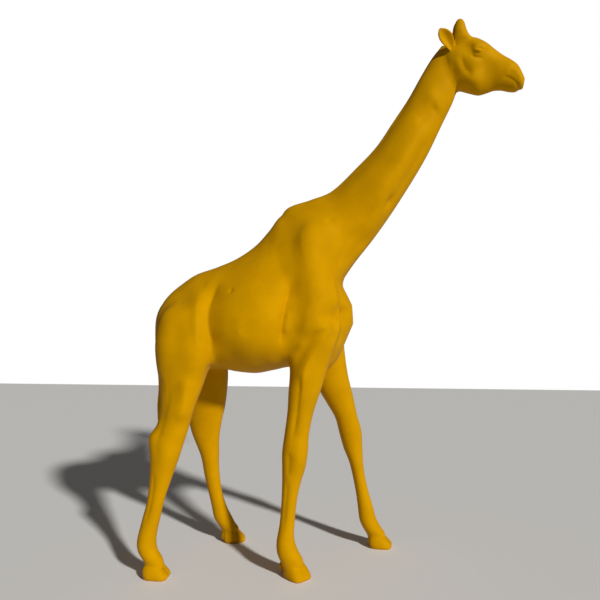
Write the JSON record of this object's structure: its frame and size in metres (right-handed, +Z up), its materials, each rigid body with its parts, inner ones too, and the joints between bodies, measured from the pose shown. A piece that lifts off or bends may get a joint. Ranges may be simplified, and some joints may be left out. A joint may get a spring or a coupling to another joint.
{
  "type": "resin giraffe sculpture",
  "caption": "Large walking giraffe cast in one hollow resin piece, standing free on its four hooves, neck stretched forward and up, glossy mustard finish all over.",
  "frame": {"origin": "on the ground, under the middle of the overall box", "axes": "+X the way the giraffe faces, +Y its left side, +Z up"},
  "size_m": [1.6494, 0.5522, 2.4],
  "materials": {
    "painted_resin": "pigmented resin casting with a satin to glossy mustard coat"
  },
  "bodies": {
    "root": {"giraffe": "painted_resin"}
  },
  "joints": []
}
